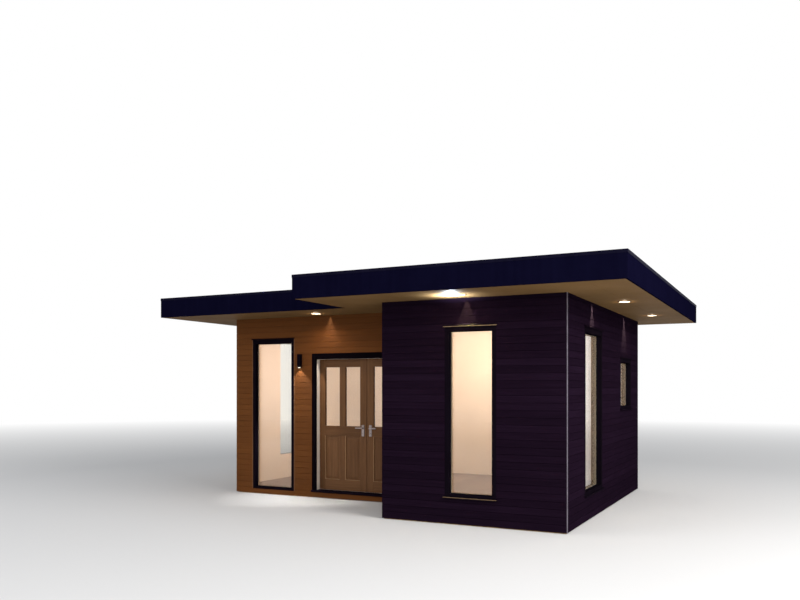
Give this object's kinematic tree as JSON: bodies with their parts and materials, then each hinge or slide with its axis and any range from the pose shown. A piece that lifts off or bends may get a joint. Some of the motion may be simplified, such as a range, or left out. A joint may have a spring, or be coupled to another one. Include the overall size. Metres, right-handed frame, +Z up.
{
  "type": "tiny house",
  "caption": "One-storey tiny house: a dark front room and a brown entrance wing with double doors under one flat stepped roof with deep eaves",
  "frame": {"origin": "on the ground, under the middle of the roof", "axes": "+Z up, the front faces -Y, +X along the front from the wing to the front room"},
  "size_m": [7.311, 6.026, 3.052],
  "materials": {
    "wall_panel": "structural panel, edges hidden",
    "floor_boards": "planked floor",
    "dark_boards": "dark painted boards",
    "brown_boards": "brown stained boards",
    "cream_board": "cream painted boards",
    "soffit_board": "beige painted board",
    "roof_membrane": "welded membrane",
    "fascia_board": "dark navy paint",
    "edge_metal": "near black paint",
    "frame_metal": "satin black paint",
    "bright_metal": "mill aluminium",
    "window_glass": "clear",
    "door_oak": "dark oiled oak",
    "satin_steel": "satin",
    "lamp_lens": "opal, lit"
  },
  "bodies": {
    "house": {"back_wall": "wall_panel", "back_window_frame": "frame_metal", "back_window_glass": "window_glass", "brown_cladding": "brown_boards", "corner_angle": "bright_metal", "dark_cladding": "dark_boards", "door_head": "cream_board", "door_jamb_left": "cream_board", "door_jamb_right": "cream_board", "door_surround": "frame_metal", "downlight_lenses": "lamp_lens", "downlight_rims": "satin_steel", "entrance_wall": "wall_panel", "entrance_wall_end": "wall_panel", "entrance_window_frame": "frame_metal", "entrance_window_glass": "window_glass", "fascia": "fascia_board", "floor": "floor_boards", "front_wall": "wall_panel", "front_window_frame": "frame_metal", "front_window_glass": "window_glass", "left_jamb_hinges": "satin_steel", "left_wall": "wall_panel", "left_window_frame": "frame_metal", "left_window_glass": "window_glass", "return_wall": "wall_panel", "right_jamb_hinges": "satin_steel", "right_wall": "wall_panel", "right_windows_frame": "frame_metal", "right_windows_glass": "window_glass", "roof_core": "wall_panel", "roof_edge_trim": "edge_metal", "roof_membrane": "roof_membrane", "room_lining": "cream_board", "soffit": "soffit_board", "threshold": "edge_metal", "wall_light": "frame_metal", "wall_light_lens": "lamp_lens", "wall_over_door": "wall_panel", "window_flashings": "edge_metal"},
    "left_door": {"left_door_leaf": "door_oak", "left_door_glass": "window_glass", "left_door_hinges": "satin_steel", "left_handle_plates": "satin_steel"},
    "right_door": {"right_door_leaf": "door_oak", "right_door_glass": "window_glass", "right_door_hinges": "satin_steel", "right_handle_plates": "satin_steel"},
    "left_lever": {"left_lever": "satin_steel"},
    "right_lever": {"right_lever": "satin_steel"}
  },
  "joints": [
    {"name": "left_door_hinge", "type": "hinge", "parent": "house", "child": "left_door", "pos_m": [-1.3615, -0.788, 0.123], "axis": [0, 0, 1], "range_deg": [0, 100]},
    {"name": "right_door_hinge", "type": "hinge", "parent": "house", "child": "right_door", "pos_m": [0.3045, -0.788, 0.123], "axis": [0, 0, -1], "range_deg": [0, 100]},
    {"name": "left_lever_spindle", "type": "hinge", "parent": "left_door", "child": "left_lever", "pos_m": [-0.5915, -0.816, 1.068], "axis": [0, -1, 0], "range_deg": [0, 40], "stiffness_Nm_per_rad": 2, "springref_deg": -20.05},
    {"name": "right_lever_spindle", "type": "hinge", "parent": "right_door", "child": "right_lever", "pos_m": [-0.4655, -0.816, 1.068], "axis": [0, 1, 0], "range_deg": [0, 40], "stiffness_Nm_per_rad": 2, "springref_deg": -20.05}
  ]
}
